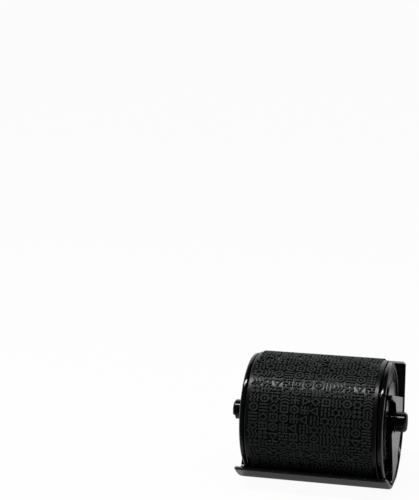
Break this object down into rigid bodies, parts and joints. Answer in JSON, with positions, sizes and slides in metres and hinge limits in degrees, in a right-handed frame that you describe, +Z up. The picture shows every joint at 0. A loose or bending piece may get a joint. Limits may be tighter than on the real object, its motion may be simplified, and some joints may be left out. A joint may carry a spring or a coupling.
{
  "type": "privacy roller stamp cartridge",
  "caption": "Drop-in stamp roller with raised masking pattern, turning on a fixed axle in a black trough-shaped carrier frame with hooked end arms.",
  "frame": {"origin": "middle of the small flat under the trough that the cartridge rests on, midway between the end arms and under the axle", "axes": "+X along the axle towards its shorter plain end, +Y from the front lip towards the rear wall, +Z up"},
  "size_m": [0.0354, 0.0265, 0.0255],
  "materials": {
    "frame_plastic": "semi-gloss black",
    "axle_plastic": "semi-gloss black",
    "stamp_rubber": "satin, ink-stained black",
    "ink_felt": "soaked with black ink",
    "core_plastic": "natural grey",
    "flange_plastic": "gloss black",
    "bush_plastic": "natural white acetal",
    "washer_steel": "plain steel",
    "seal_rubber": "matt black"
  },
  "bodies": {
    "carrier": {"carrier_frame": "frame_plastic", "axle": "axle_plastic"},
    "stamp_roller": {"stamp_sleeve": "stamp_rubber", "ink_felt": "ink_felt", "drum_core": "core_plastic", "left_flange": "flange_plastic", "right_flange": "flange_plastic", "left_bush": "bush_plastic", "right_bush": "bush_plastic", "left_thrust_washer": "washer_steel", "right_thrust_washer": "washer_steel", "left_ink_seal": "seal_rubber", "right_ink_seal": "seal_rubber"}
  },
  "joints": [
    {"name": "roller_spin", "type": "hinge", "parent": "carrier", "child": "stamp_roller", "pos_m": [0, 0, 0.01315], "axis": [1, 0, 0], "continuous": true}
  ]
}
